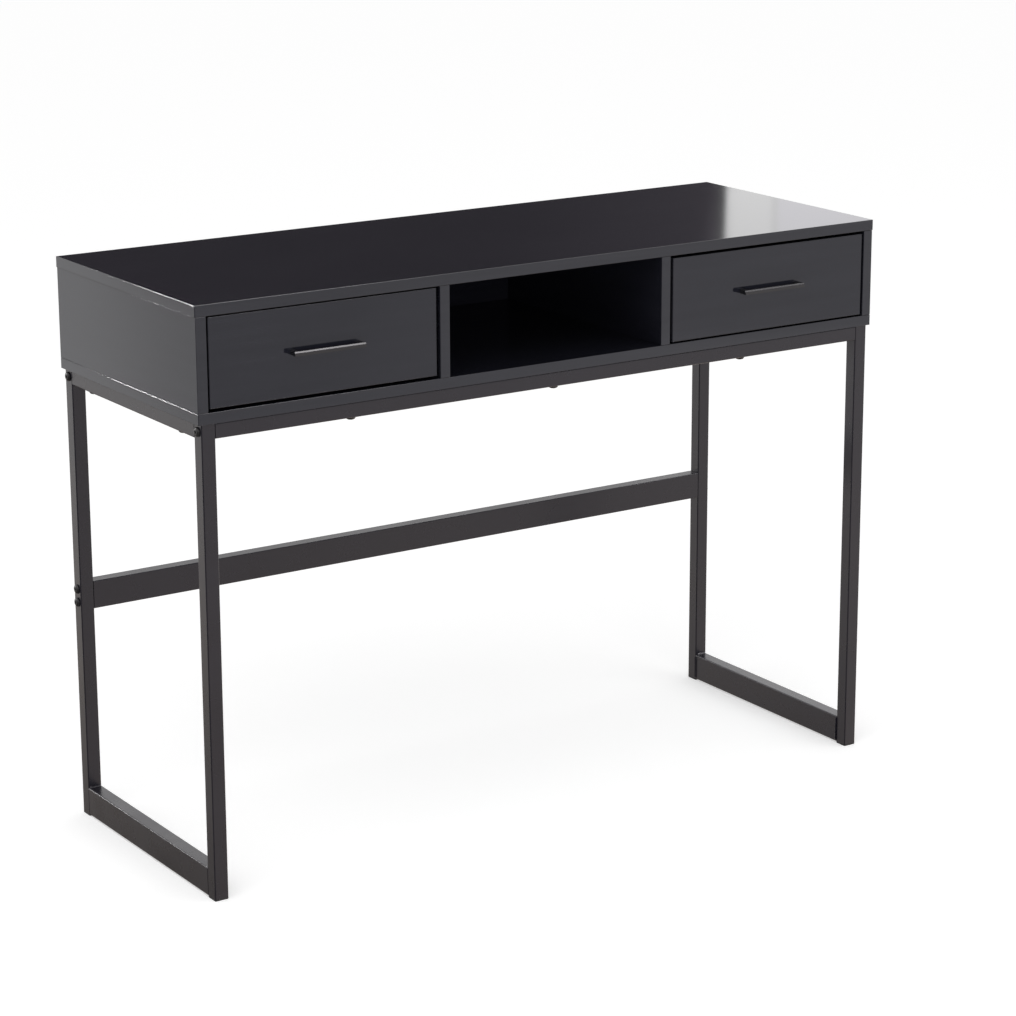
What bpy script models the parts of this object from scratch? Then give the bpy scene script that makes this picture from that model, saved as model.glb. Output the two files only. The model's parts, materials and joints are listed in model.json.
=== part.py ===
"""Narrow writing desk: a black board case with two drawers and an open shelf on a square-tube steel frame.

Metres, +Z up. X runs along the desk, the drawers face -Y. The origin is on the floor, under the middle of the
bounding box, which the drawer pulls push a little to the front.
"""

import math

import bmesh
import bpy
from mathutils import Matrix, Vector

# Whole desk
LENGTH = 1.100
DEPTH = 0.400
HEIGHT = 0.802
GAP = 0.0003  # left between pieces that touch

# Board case
BOARD = 0.015
BAY_HEIGHT = 0.125
TOP_OVERHANG = 0.001
BACK_BOARD = 0.012
EDGE_CHAMFER = 0.0005

# Steel frame
TUBE = 0.020
TALL_TUBE = 0.040
TUBE_WALL = 0.0012
TUBE_CORNER = 0.0015
FRAME_LENGTH = 1.088
FRAME_DEPTH = 0.396
END_PLATE = 0.004
CAP_FLANGE = 0.0020
CAP_STEM = 0.012
STRETCHER_MIDDLE = 0.324
STRETCHER_BOLT_PITCH = 0.019

# Fasteners
BOLT_HEAD = (0.0065, 0.0034)  # radius, height
BOLT_SHANK = (0.0030, 0.0300)  # radius, length
SCREW_HEAD = (0.0066, 0.0040)
SCREW_SHANK = (0.0021, 0.0300)
HOLE_CLEARANCE = 0.0003
LONG_RAIL_SCREWS = (-0.320, 0.0, 0.320)
SIDE_RAIL_SCREWS = (-0.130, 0.130)

# Drawers
SIDE_GAP = 0.0042  # beside the drawer fronts, on average
LEVEL_GAP = 0.0033  # above and below them, on average
# How far each front is set off the middle of its bay, in X and Z
FRONT_OFFSET = {"left": (-0.0012, 0.0012), "right": (0.0010, -0.0009)}
FRONT_RECESS = 0.0010
DRAWER_BOARD = 0.012
DRAWER_BOTTOM = 0.003
DRAWER_DEPTH = 0.340
DRAWER_SIDE = (0.675, 0.765)  # lower and upper edge of the drawer sides
GROOVE_RISE = 0.010
GROOVE_DEPTH = 0.005

# Slides
SLIDE_LENGTH = 0.300
SLIDE_THICKNESS = 0.010
SLIDE_SHEET = 0.0010
SLIDE_SETBACK = 0.002
CABINET_MEMBER_HEIGHT = 0.027
DRAWER_MEMBER_HEIGHT = 0.017
SLIDE_MIDDLE = 0.720

# Pulls
PULL_LENGTH = 0.106
PULL_CENTRES = 0.096
PULL_BAR = (0.005, 0.006)  # depth, height
PULL_POST = 0.008
PULL_REACH = 0.0147
PULL_SCREW_HOLE = 0.0022
PULL_THREAD_DEPTH = 0.009

# Worked out from the above
TOP_UNDERSIDE = HEIGHT - BOARD
BAY_FLOOR = TOP_UNDERSIDE - BAY_HEIGHT
FRAME_TOP = BAY_FLOOR - BOARD
CASE_HALF_LENGTH = LENGTH / 2 - TOP_OVERHANG
CASE_HALF_DEPTH = DEPTH / 2
BAY_WIDTH = (2 * CASE_HALF_LENGTH - 4 * BOARD) / 3
FRONT_FACE = -CASE_HALF_DEPTH + FRONT_RECESS
CENTRE_SHIFT = (PULL_REACH + GAP - FRONT_RECESS) / 2
LEG_X = FRAME_LENGTH / 2 - TUBE / 2
LEG_Y = FRAME_DEPTH / 2 - TUBE / 2
RAIL_Z = FRAME_TOP - GAP - TUBE / 2
SIDES = (("left", -1), ("right", 1))
ENDS = (("front", -1), ("back", 1))


def clear_scene():
    for obj in list(bpy.data.objects):
        bpy.data.objects.remove(obj, do_unlink=True)


def make_material(name, colour, roughness, metallic=0.0):
    material = bpy.data.materials.new(name)
    material.use_nodes = True
    shader = material.node_tree.nodes["Principled BSDF"]
    shader.inputs["Base Color"].default_value = (*colour, 1.0)
    shader.inputs["Roughness"].default_value = roughness
    shader.inputs["Metallic"].default_value = metallic
    return material


def make_empty(name, location, parent=None):
    empty = bpy.data.objects.new(name, None)
    empty.location = location
    empty.parent = parent
    bpy.context.collection.objects.link(empty)
    return empty


def place(name, bm, material, location, parent):
    """Turns a bmesh into a placed object with one material."""
    bmesh.ops.recalc_face_normals(bm, faces=bm.faces)
    mesh = bpy.data.meshes.new(name)
    bm.to_mesh(mesh)
    bm.free()
    if material:
        mesh.materials.append(material)
    obj = bpy.data.objects.new(name, mesh)
    obj.location = location
    obj.parent = parent
    bpy.context.collection.objects.link(obj)
    return obj


def box_bmesh(size, centre=(0, 0, 0)):
    bm = bmesh.new()
    bmesh.ops.create_cube(bm, size=1.0)
    bmesh.ops.scale(bm, vec=Vector(size), verts=bm.verts)
    bmesh.ops.translate(bm, vec=Vector(centre), verts=bm.verts)
    return bm


def lofted_bmesh(rings):
    """A closed body through rings of points, all with the same count."""
    bm = bmesh.new()
    loops = [[bm.verts.new(point) for point in ring] for ring in rings]
    bm.faces.new(loops[0])
    bm.faces.new(loops[-1])
    for lower, upper in zip(loops, loops[1:]):
        for i in range(len(lower)):
            bm.faces.new((lower[i - 1], lower[i], upper[i], upper[i - 1]))
    return bm


def board(name, low, high, material, parent):
    """A board between two opposite corners, with lightly broken edges."""
    low = Vector(low)
    high = Vector(high)
    obj = place(name, box_bmesh(high - low), material, (low + high) / 2, parent)
    chamfer = obj.modifiers.new("broken_edges", "BEVEL")
    chamfer.width = EDGE_CHAMFER
    chamfer.segments = 1
    return obj


def cut(obj, name, bm):
    """Cuts a closed shape, given in the object's own coordinates, out of it."""
    cutter = place(name, bm, None, obj.location, obj.parent)
    cutter.hide_render = True
    cutter.display_type = "WIRE"
    boolean = obj.modifiers.new(name, "BOOLEAN")
    boolean.operation = "DIFFERENCE"
    boolean.solver = "EXACT"
    boolean.object = cutter


def along(axis):
    """Turns +Z to the named axis. A section's height, drawn on Y, then stands on Z for X and for Y."""
    turns = {
        "X": Matrix(((0, 0, 1), (1, 0, 0), (0, 1, 0))),
        "Y": Matrix(((1, 0, 0), (0, 0, 1), (0, 1, 0))),
        "Z": Matrix.Identity(3),
    }
    return turns[axis].to_4x4()


def rounded_section(width, height, radius, z, steps=3):
    """Points of a rectangle with rounded corners, at height z."""
    points = []
    for quarter, (sx, sy) in enumerate(((1, 1), (-1, 1), (-1, -1), (1, -1))):
        cx = sx * (width / 2 - radius)
        cy = sy * (height / 2 - radius)
        for step in range(steps + 1):
            angle = math.radians(90 * (quarter + step / steps))
            points.append(Vector((cx + radius * math.cos(angle), cy + radius * math.sin(angle), z)))
    return points


def prism_bmesh(width, height, radius, length, axis, steps=3):
    rings = [rounded_section(width, height, radius, z, steps) for z in (-length / 2, length / 2)]
    bm = lofted_bmesh(rings)
    bm.transform(along(axis))
    return bm


def circle(radius, z, count):
    turn = 2 * math.pi / count
    return [Vector((radius * math.cos(i * turn), radius * math.sin(i * turn), z)) for i in range(count)]


def hexagon(across_flats, z, count=12):
    """A hexagon with a point in the middle of each side, so that it joins a ring of twelve."""
    turn = 2 * math.pi / count
    points = []
    for i in range(count):
        reach = across_flats / 2 if i % 2 else across_flats / math.sqrt(3)
        points.append(Vector((reach * math.cos(i * turn), reach * math.sin(i * turn), z)))
    return points


def add_hole(bm, centre, radius, length, axis):
    """Adds a round hole's cutter, centred on a point."""
    rings = [circle(radius, -length / 2, 12), circle(radius, length / 2, 12)]
    hole = lofted_bmesh(rings)
    hole.transform(Matrix.Translation(Vector(centre)) @ along(axis))
    mesh = bpy.data.meshes.new("hole")
    hole.to_mesh(mesh)
    hole.free()
    bm.from_mesh(mesh)
    bpy.data.meshes.remove(mesh)


def tube(name, section, length, axis, location, material, parent, plates=False):
    """A rectangular steel tube. With plates, a plate closes each end, for bolts to thread into."""
    width, height = section
    outer = prism_bmesh(width, height, TUBE_CORNER, length, axis)
    obj = place(name, outer, material, location, parent)
    hollow_length = length - 2 * END_PLATE if plates else length + 0.010
    wall = 2 * TUBE_WALL
    inner = prism_bmesh(width - wall, height - wall, TUBE_CORNER - TUBE_WALL, hollow_length, axis, 1)
    cut(obj, name + "_hollow", inner)
    return obj


def fastener_mesh(name, head, shank, socket, material):
    """A domed socket head with its shank, pointing up +Z, the underside of the head at z = 0."""
    head_radius, head_height = head
    shank_radius, shank_length = shank
    rings = [
        circle(shank_radius * 0.6, shank_length, 12),
        circle(shank_radius, shank_length - 0.0015, 12),
        circle(shank_radius, 0, 12),
        circle(head_radius, 0, 12),
        circle(head_radius, -0.25 * head_height, 12),
        circle(head_radius * 0.86, -0.72 * head_height, 12),
        circle(head_radius * 0.62, -head_height, 12),
        hexagon(socket, -head_height),
        hexagon(socket, -0.4 * head_height),
    ]
    bm = lofted_bmesh(rings)
    bmesh.ops.recalc_face_normals(bm, faces=bm.faces)
    mesh = bpy.data.meshes.new(name)
    bm.to_mesh(mesh)
    bm.free()
    mesh.materials.append(material)
    mesh.shade_smooth()
    mesh.set_sharp_from_angle(angle=math.radians(35))
    return mesh


def fasten(name, mesh, location, direction, parent):
    """Places a copy of a fastener with its shank pointing along the direction."""
    obj = bpy.data.objects.new(name, mesh)
    obj.location = location
    obj.rotation_euler = Vector(direction).to_track_quat("Z", "Y").to_euler()
    obj.parent = parent
    bpy.context.collection.objects.link(obj)
    return obj


def build_case(material, parent):
    """The board case: top, bottom, two sides, two dividers and the back."""
    half_top = LENGTH / 2
    front = -CASE_HALF_DEPTH
    back = CASE_HALF_DEPTH
    inner_back = back - BACK_BOARD - GAP
    low = BAY_FLOOR + GAP
    high = TOP_UNDERSIDE - GAP
    board("top_panel", (-half_top, front, TOP_UNDERSIDE), (half_top, back, HEIGHT), material, parent)
    bottom = board(
        "bottom_panel",
        (-CASE_HALF_LENGTH, front, FRAME_TOP),
        (CASE_HALF_LENGTH, back, BAY_FLOOR),
        material,
        parent,
    )
    for side, sign in SIDES:
        outer = sign * CASE_HALF_LENGTH
        inner = sign * (CASE_HALF_LENGTH - BOARD)
        corners = sorted((outer, inner))
        board(f"{side}_side_panel", (corners[0], front, low), (corners[1], back, high), material, parent)
        corners = sorted((sign * BAY_WIDTH / 2, sign * (BAY_WIDTH / 2 + BOARD)))
        board(f"{side}_divider", (corners[0], front, low), (corners[1], inner_back, high), material, parent)
    reach = CASE_HALF_LENGTH - BOARD - GAP
    board("back_panel", (-reach, back - BACK_BOARD, low), (reach, back, high), material, parent)
    drill_pilot_holes(bottom)


def rail_screw_places():
    """Name and place on the underside of the rails of every screw that holds the case down."""
    for end, sign in ENDS:
        for number, x in enumerate(LONG_RAIL_SCREWS, 1):
            yield f"{end}_rail_screw_{number}", (x, sign * LEG_Y)
    for side, sign in SIDES:
        for y, end in zip(SIDE_RAIL_SCREWS, ("front", "back")):
            yield f"{side}_rail_screw_{end}", (sign * LEG_X, y)


def drill_pilot_holes(bottom):
    """Blind holes up into the bottom panel for the rail screws."""
    bm = bmesh.new()
    top_of_hole = RAIL_Z - TUBE / 2 + SCREW_SHANK[1] + HOLE_CLEARANCE
    depth = top_of_hole - FRAME_TOP
    middle = FRAME_TOP + depth / 2 - 0.001 - bottom.location.z
    for _, (x, y) in rail_screw_places():
        add_hole(bm, (x, y, middle), SCREW_SHANK[0] + HOLE_CLEARANCE, depth + 0.002, "Z")
    cut(bottom, "pilot_holes", bm)


def build_legs(material, parent):
    """Four legs, drilled through for the bolts that hold the rails and the stretcher."""
    foot = CAP_FLANGE + GAP
    top = FRAME_TOP - GAP
    middle = (foot + top) / 2
    hole_radius = BOLT_SHANK[0] + HOLE_CLEARANCE
    for side, sign in SIDES:
        for end, depth_sign in ENDS:
            place_at = (sign * LEG_X, depth_sign * LEG_Y, middle)
            leg = tube(f"{side}_{end}_leg", (TUBE, TUBE), top - foot, "Z", place_at, material, parent)
            heights = [RAIL_Z] + (stretcher_bolt_heights() if end == "back" else [])
            bm = bmesh.new()
            for z in heights:
                add_hole(bm, (0, 0, z - middle), hole_radius, TUBE + 0.01, "X")
            cut(leg, f"{leg.name}_bolt_holes", bm)


def stretcher_bolt_heights():
    half = STRETCHER_BOLT_PITCH / 2
    return [STRETCHER_MIDDLE - half, STRETCHER_MIDDLE + half]


def build_rails(material, parent):
    """Side rails welded between the legs, and the long rails and stretcher bolted between the two leg frames."""
    side_length = 2 * LEG_Y - TUBE - 2 * GAP
    long_length = 2 * LEG_X - TUBE - 2 * GAP
    screw_radius = SCREW_SHANK[0] + HOLE_CLEARANCE
    bolt_radius = BOLT_SHANK[0] + HOLE_CLEARANCE
    floor_z = CAP_FLANGE + GAP + TALL_TUBE / 2
    for side, sign in SIDES:
        x = sign * LEG_X
        tube(f"{side}_floor_rail", (TUBE, TALL_TUBE), side_length, "Y", (x, 0, floor_z), material, parent)
        rail = tube(f"{side}_top_rail", (TUBE, TUBE), side_length, "Y", (x, 0, RAIL_Z), material, parent)
        bm = bmesh.new()
        for y in SIDE_RAIL_SCREWS:
            add_hole(bm, (0, y, 0), screw_radius, TUBE + 0.01, "Z")
        cut(rail, f"{rail.name}_screw_holes", bm)
    for end, sign in ENDS:
        place_at = (0, sign * LEG_Y, RAIL_Z)
        rail = tube(f"{end}_top_rail", (TUBE, TUBE), long_length, "X", place_at, material, parent, plates=True)
        bm = bmesh.new()
        for x in LONG_RAIL_SCREWS:
            add_hole(bm, (x, 0, 0), screw_radius, TUBE + 0.01, "Z")
        for x in (-long_length / 2, long_length / 2):
            add_hole(bm, (x, 0, 0), bolt_radius, 3 * END_PLATE, "X")
        cut(rail, f"{rail.name}_holes", bm)
    place_at = (0, LEG_Y, STRETCHER_MIDDLE)
    section = (TUBE, TALL_TUBE)
    stretcher = tube("back_stretcher", section, long_length, "X", place_at, material, parent, plates=True)
    bm = bmesh.new()
    for x in (-long_length / 2, long_length / 2):
        for z in stretcher_bolt_heights():
            add_hole(bm, (x, 0, z - STRETCHER_MIDDLE), bolt_radius, 3 * END_PLATE, "X")
    cut(stretcher, "stretcher_bolt_holes", bm)


def build_foot_caps(material, parent):
    """Plastic plugs: a thin flange under the leg and a stem up inside the tube."""
    inside = TUBE - 2 * TUBE_WALL - 2 * GAP
    for side, sign in SIDES:
        for end, depth_sign in ENDS:
            rings = [
                rounded_section(TUBE - 0.001, TUBE - 0.001, TUBE_CORNER, 0),
                rounded_section(TUBE, TUBE, TUBE_CORNER, 0.0005),
                rounded_section(TUBE, TUBE, TUBE_CORNER, CAP_FLANGE),
                rounded_section(inside, inside, 0.001, CAP_FLANGE),
                rounded_section(inside, inside, 0.001, CAP_FLANGE + CAP_STEM - 0.002),
                rounded_section(inside - 0.002, inside - 0.002, 0.001, CAP_FLANGE + CAP_STEM),
            ]
            place_at = (sign * LEG_X, depth_sign * LEG_Y, 0)
            place(f"{side}_{end}_foot_cap", lofted_bmesh(rings), material, place_at, parent)


def build_fasteners(material, parent):
    """Bolts through the legs, and screws up through the rails into the case."""
    bolt = fastener_mesh("leg_bolt", BOLT_HEAD, BOLT_SHANK, 0.004, material)
    screw = fastener_mesh("rail_screw", SCREW_HEAD, SCREW_SHANK, 0.0035, material)
    outside = LEG_X + TUBE / 2 + GAP
    for side, sign in SIDES:
        inwards = (-sign, 0, 0)
        for end, depth_sign in ENDS:
            place_at = (sign * outside, depth_sign * LEG_Y, RAIL_Z)
            fasten(f"{side}_{end}_leg_bolt", bolt, place_at, inwards, parent)
        for z, level in zip(stretcher_bolt_heights(), ("lower", "upper")):
            fasten(f"{side}_stretcher_bolt_{level}", bolt, (sign * outside, LEG_Y, z), inwards, parent)
    underside = RAIL_Z - TUBE / 2 - GAP
    for name, (x, y) in rail_screw_places():
        fasten(name, screw, (x, y, underside), (0, 0, 1), parent)


def channel_outline(depth, height, sheet, lip):
    """Outline of a channel that opens to +X: its web on x = 0, flanges and short lips folded in."""
    half = height / 2
    upper = [
        (depth, half),
        (depth, half - sheet - lip),
        (depth - sheet, half - sheet - lip),
        (depth - sheet, half - sheet),
        (sheet, half - sheet),
    ]
    lower = [(x, -z) for x, z in reversed(upper)]
    return [(0, half)] + upper + lower + [(0, -half)]


def channel(name, outline, flip, centre, material, parent):
    """A slide member: the outline, in X and Z, extruded along Y. Flipped, it opens to -X."""
    sign = -1 if flip else 1
    ends = (-SLIDE_LENGTH / 2, SLIDE_LENGTH / 2)
    rings = [[Vector((sign * x, y, z)) for x, z in outline] for y in ends]
    return place(name, lofted_bmesh(rings), material, centre, parent)


def build_slides(bay, bay_centre, drawer_parent, material, parent):
    """A cabinet member and a drawer member on each side of one bay."""
    lip = 0.003
    cabinet = channel_outline(SLIDE_THICKNESS - SLIDE_SHEET, CABINET_MEMBER_HEIGHT, SLIDE_SHEET, lip)
    drawer = channel_outline(SLIDE_THICKNESS - 3 * SLIDE_SHEET, DRAWER_MEMBER_HEIGHT, SLIDE_SHEET, 0.0015)
    middle_y = FRONT_FACE + BOARD + SLIDE_SETBACK + SLIDE_LENGTH / 2
    for side, sign in SIDES:
        wall = bay_centre + sign * (BAY_WIDTH / 2 - GAP)
        flip = sign > 0
        place_at = (wall, middle_y, SLIDE_MIDDLE)
        channel(f"{bay}_bay_{side}_slide_rail", cabinet, flip, place_at, material, parent)
        web = sign * (BAY_WIDTH / 2 - GAP - SLIDE_THICKNESS)
        place_at = (web, SLIDE_SETBACK + BOARD + SLIDE_LENGTH / 2, 0)
        channel(f"{bay}_drawer_{side}_slide", drawer, not flip, place_at, material, drawer_parent)


def pull_bmesh():
    """A bar on two posts, front face at y = -PULL_REACH, posts' feet on y = 0."""
    half = PULL_LENGTH / 2
    post_in = PULL_CENTRES / 2 - PULL_POST / 2
    post_out = PULL_CENTRES / 2 + PULL_POST / 2
    back = -PULL_REACH + PULL_BAR[0]
    right = [(post_in, back), (post_in, 0), (post_out, 0), (post_out, back), (half, back), (half, -PULL_REACH)]
    outline = right + [(-x, y) for x, y in reversed(right)]
    rings = [[Vector((x, y, z)) for x, y in outline] for z in (-PULL_BAR[1] / 2, PULL_BAR[1] / 2)]
    return lofted_bmesh(rings)


def drawer_side_bmesh(sign):
    """A drawer side with the groove for the bottom in its inner face; sign is the side it stands on."""
    low, high = (z - SLIDE_MIDDLE for z in DRAWER_SIDE)
    groove = low + GROOVE_RISE
    slot = DRAWER_BOTTOM + 2 * GAP
    outline = [
        (0, low),
        (-DRAWER_BOARD, low),
        (-DRAWER_BOARD, groove),
        (-DRAWER_BOARD + GROOVE_DEPTH, groove),
        (-DRAWER_BOARD + GROOVE_DEPTH, groove + slot),
        (-DRAWER_BOARD, groove + slot),
        (-DRAWER_BOARD, high),
        (0, high),
    ]
    rings = [[Vector((sign * x, y, z)) for x, z in outline] for y in (0, DRAWER_DEPTH)]
    return lofted_bmesh(rings)


def build_drawer(bay, bay_centre, box_material, pull_material, parent):
    """One drawer, hung on an empty in the middle of its front, at the height of its slides."""
    axis = make_empty(f"{bay}_drawer_axis", (bay_centre, FRONT_FACE, SLIDE_MIDDLE), parent)
    half_front = BAY_WIDTH / 2 - SIDE_GAP
    aside, lift = FRONT_OFFSET[bay]
    front_low = BAY_FLOOR + LEVEL_GAP + lift - SLIDE_MIDDLE
    front_high = TOP_UNDERSIDE - LEVEL_GAP + lift - SLIDE_MIDDLE
    front_middle = (front_low + front_high) / 2
    half_box = BAY_WIDTH / 2 - SLIDE_THICKNESS - 2 * GAP
    inner_half = half_box - DRAWER_BOARD
    low, high = (z - SLIDE_MIDDLE for z in DRAWER_SIDE)
    behind = BOARD + GAP
    bottom_low = low + GROOVE_RISE + GAP
    bottom_half = inner_half + GROOVE_DEPTH - GAP

    front = board(
        f"{bay}_drawer_front",
        (aside - half_front, 0, front_low),
        (aside + half_front, BOARD, front_high),
        box_material,
        axis,
    )
    slot = box_bmesh(
        (2 * bottom_half + 2 * GAP, 2 * GROOVE_DEPTH, DRAWER_BOTTOM + 2 * GAP),
        (-aside, BOARD / 2, bottom_low + DRAWER_BOTTOM / 2 - front_middle),
    )
    cut(front, f"{bay}_front_groove", slot)
    bm = bmesh.new()
    for x in (-PULL_CENTRES / 2, PULL_CENTRES / 2):
        add_hole(bm, (x, 0, 0), PULL_SCREW_HOLE, BOARD + 0.01, "Y")
    cut(front, f"{bay}_pull_screw_holes", bm)

    for side, sign in SIDES:
        place_at = (sign * half_box, behind, 0)
        place(f"{bay}_drawer_{side}_side", drawer_side_bmesh(sign), box_material, place_at, axis)
    back_low = bottom_low + DRAWER_BOTTOM + GAP
    back_end = behind + DRAWER_DEPTH
    board(
        f"{bay}_drawer_back",
        (-inner_half + GAP, back_end - DRAWER_BOARD, back_low),
        (inner_half - GAP, back_end, high),
        box_material,
        axis,
    )
    bottom_front = BOARD - GROOVE_DEPTH + GAP
    board(
        f"{bay}_drawer_bottom",
        (-bottom_half, bottom_front, bottom_low),
        (bottom_half, back_end, bottom_low + DRAWER_BOTTOM),
        box_material,
        axis,
    )
    pull = place(f"{bay}_drawer_pull", pull_bmesh(), pull_material, (aside, -GAP, front_middle), axis)
    soft_edges = pull.modifiers.new("soft_edges", "BEVEL")
    soft_edges.width = 0.001
    soft_edges.segments = 2
    bm = bmesh.new()
    for x in (-PULL_CENTRES / 2, PULL_CENTRES / 2):
        add_hole(bm, (x, 0, 0), PULL_SCREW_HOLE, 2 * PULL_THREAD_DEPTH, "Y")
    cut(pull, f"{bay}_pull_thread_holes", bm)
    return axis


def main():
    clear_scene()
    black_board = make_material("black_board", (0.022, 0.021, 0.023), 0.38)
    black_steel = make_material("black_steel", (0.024, 0.022, 0.021), 0.42, 0.3)
    black_plastic = make_material("black_plastic", (0.015, 0.015, 0.015), 0.55)
    black_bolt = make_material("black_bolt", (0.018, 0.018, 0.018), 0.35, 0.8)
    zinc = make_material("zinc_plate", (0.58, 0.58, 0.57), 0.3, 1.0)

    desk = make_empty("desk", (0, CENTRE_SHIFT, 0))
    build_case(black_board, desk)
    build_legs(black_steel, desk)
    build_rails(black_steel, desk)
    build_foot_caps(black_plastic, desk)
    build_fasteners(black_bolt, desk)
    for bay, sign in SIDES:
        bay_centre = sign * (BAY_WIDTH + BOARD)
        axis = build_drawer(bay, bay_centre, black_board, black_steel, desk)
        build_slides(bay, bay_centre, axis, zinc, desk)


main()
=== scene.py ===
"""Looks of the narrow black writing desk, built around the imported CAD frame.

Metres, +Z up, in the CAD's own frame: X along the desk, drawers facing -Y, origin on the floor. Every
place comes from a CAD node's box. Boards get edge bands, tubes get their weld beads, and fasteners and
slides get their fine shape.
"""

import json
import math

import bmesh
import bpy
from mathutils import Matrix, Vector


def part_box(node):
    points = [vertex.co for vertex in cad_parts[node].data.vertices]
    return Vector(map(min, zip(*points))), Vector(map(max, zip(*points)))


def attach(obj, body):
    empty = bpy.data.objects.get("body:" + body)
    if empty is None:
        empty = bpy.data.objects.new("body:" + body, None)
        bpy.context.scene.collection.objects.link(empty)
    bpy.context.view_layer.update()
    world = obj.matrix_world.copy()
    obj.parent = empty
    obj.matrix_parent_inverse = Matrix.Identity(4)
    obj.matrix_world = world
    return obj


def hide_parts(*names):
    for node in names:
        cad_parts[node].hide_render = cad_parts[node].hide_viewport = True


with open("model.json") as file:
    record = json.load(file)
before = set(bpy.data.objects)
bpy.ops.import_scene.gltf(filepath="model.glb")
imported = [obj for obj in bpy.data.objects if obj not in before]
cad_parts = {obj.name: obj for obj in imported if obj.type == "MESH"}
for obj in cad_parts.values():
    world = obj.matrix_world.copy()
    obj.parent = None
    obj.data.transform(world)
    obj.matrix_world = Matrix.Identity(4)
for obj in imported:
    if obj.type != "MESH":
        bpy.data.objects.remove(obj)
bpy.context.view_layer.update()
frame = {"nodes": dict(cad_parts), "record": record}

SIDES = (("left", -1), ("right", 1))
ENDS = (("front", -1), ("back", 1))

SAME = 1e-6  # two places nearer than this count as one

# Fine dimensions
BAND = 0.0009  # thickness of the edge band
BAND_RADIUS = 0.0005
SEAM = 0.00012  # chamfer on both sides of a glued seam
TUBE_CORNER = 0.0015
TUBE_WALL = 0.0012
WELD_LEG = 0.0024
WELD_RIPPLE = 0.0016
CAP_FLANGE = 0.0020
CAP_WALL = 0.0015
CAP_PLAY = 0.0006  # between the stem and the inside of the tube
# Fasteners: head height, head radius, shank radius and length, width of the socket
BOLT = (0.0034, 0.0065, (0.0030, 0.0300), 0.0040)
SCREW = (0.0040, 0.0066, (0.0021, 0.0300), 0.0035)
PULL_SCREW_HEAD = (0.0042, 0.0024)  # radius and height
PULL_SCREW_SHANK = (0.0018, 0.0070)  # radius, and how far it goes into the pull
PULL_SCREW_SOCKET = 0.0025
SLIDE_SHEET = 0.0010
SLIDE_BEND = 0.0011  # radius of its bends, at mid-sheet
SLIDE_LIPS = (0.0030, 0.0015)  # of the rail and of the drawer's member
SLIDE_SCREWS = (0.10, 0.48, 0.86)  # shares of the slide's length
SLIDE_SCREW_HEAD = (0.0030, 0.0013)
CAGE_START = 0.020
CAGE_MARGIN = 0.004  # from its ends to the first and last ball
CAGE_BALLS = 12
CAGE_PITCH = 0.0075
CAGE_STRIP = (0.0004, 0.0018)  # thickness and height
GROOVE_DEPTH = 0.005
GROOVE_PLAY = 0.0003
PULL_CENTRES = 0.096
PULL_POST = 0.008
PULL_BAR_DEPTH = 0.005
PULL_BEVEL = 0.0020
PULL_ROUND = 0.0005
BOX_ROUND = 0.0006  # edges of the drawer sides
PANEL_ROUND = 0.0004  # edges of the drawer's back and bottom

# Photo camera: where it stands, where it looks and how its frame is shifted
CAMERA_PLACE = (-2.2840, -3.5534, 1.5820)
CAMERA_AZIMUTH = -34.473
CAMERA_ELEVATION = 14.942
CAMERA_ROLL = 0.114
CAMERA_SENSOR = 36
CAMERA_LENS = 108.561
CAMERA_SHIFT = (-0.0630, -0.0295)

# Floor, backdrop and what gloss sees. Angles are in degrees, azimuths run from +Y towards +X.
FLOOR_SIZE = 30.0
FLOOR_GLOW = 0.42
BACKDROP = 1.0  # what the camera sees behind the desk
FILL = 0.70  # soft light from all round on matt surfaces
DARK_BAND = 0.040  # the dim wall that gloss picks up near the horizon
BAND_TINT = (1.25, 1.13, 1.30)
BAND_TINT_END = (37.1, 37.35)  # azimuths where the tint fades before the window
CEILING = (13.0, 15.3, 1.25)  # elevation where it starts and where it is full, and its brightness
CEILING_GAIN = (16.0, 22.0, 0.18)  # further up it gets brighter
WINDOW = (37.375, 0.045, 1.47)  # azimuth of the left edge, softness, brightness
WINDOW_LEAN = (0.01, 10.04)  # its edge leans by this much for each degree above this elevation
CURTAIN_LEAN = 0.15
CURTAINS = ((32.5, 37.88, 0.028), (36.93, 37.35, 0.050))  # dim light beside it: azimuths and brightness
WINDOW_BAR = (38.235, 38.355, 0.88)  # azimuths of the bar and the share of the light it lets through
SKY = (0.96, 0.95, 0.985)  # colour right of the bar
RIM_DIRECTION = (-0.485, 0.871, 0.0775)  # tall lamp, too low for the top to mirror it
RIM_DISTANCE = 20.0
RIM_TARGET = (-0.55, 0.0, 0.70)
RIM_SIZE = (0.70, 2.5)
RIM_LEAN = 8.0  # degrees that it leans to the right
RIM_POWER = 770.0
# Ceiling lamp: its direction along X where it starts, is full, fades and ends
LAMP = (0.36, 0.40, 0.475, 0.535)
LAMP_DEPTH = (-0.50, 0.10)  # its direction along Y
LAMP_BRIGHTNESS = 10.5
FLOOR_NEAR = (-20.6, 0.20)  # elevation and brightness of the floor seen steeply, behind on the left
FLOOR_MIDDLE = (-17.5, 0.90)
FLOOR_FAR = (-13.5, 1.05)
FLOOR_ASIDE = (1.10, (-25.0, -27.5, -0.27), (-30.0, -38.0, 0.21))  # how it varies across
FLOOR_FRONT = (0.85, (151.5, 146.5, 0.16))  # the floor in front, brighter to the right
FRONT_FADE = (162.0, 178.0)  # azimuths where it fades into the dark side
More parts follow.
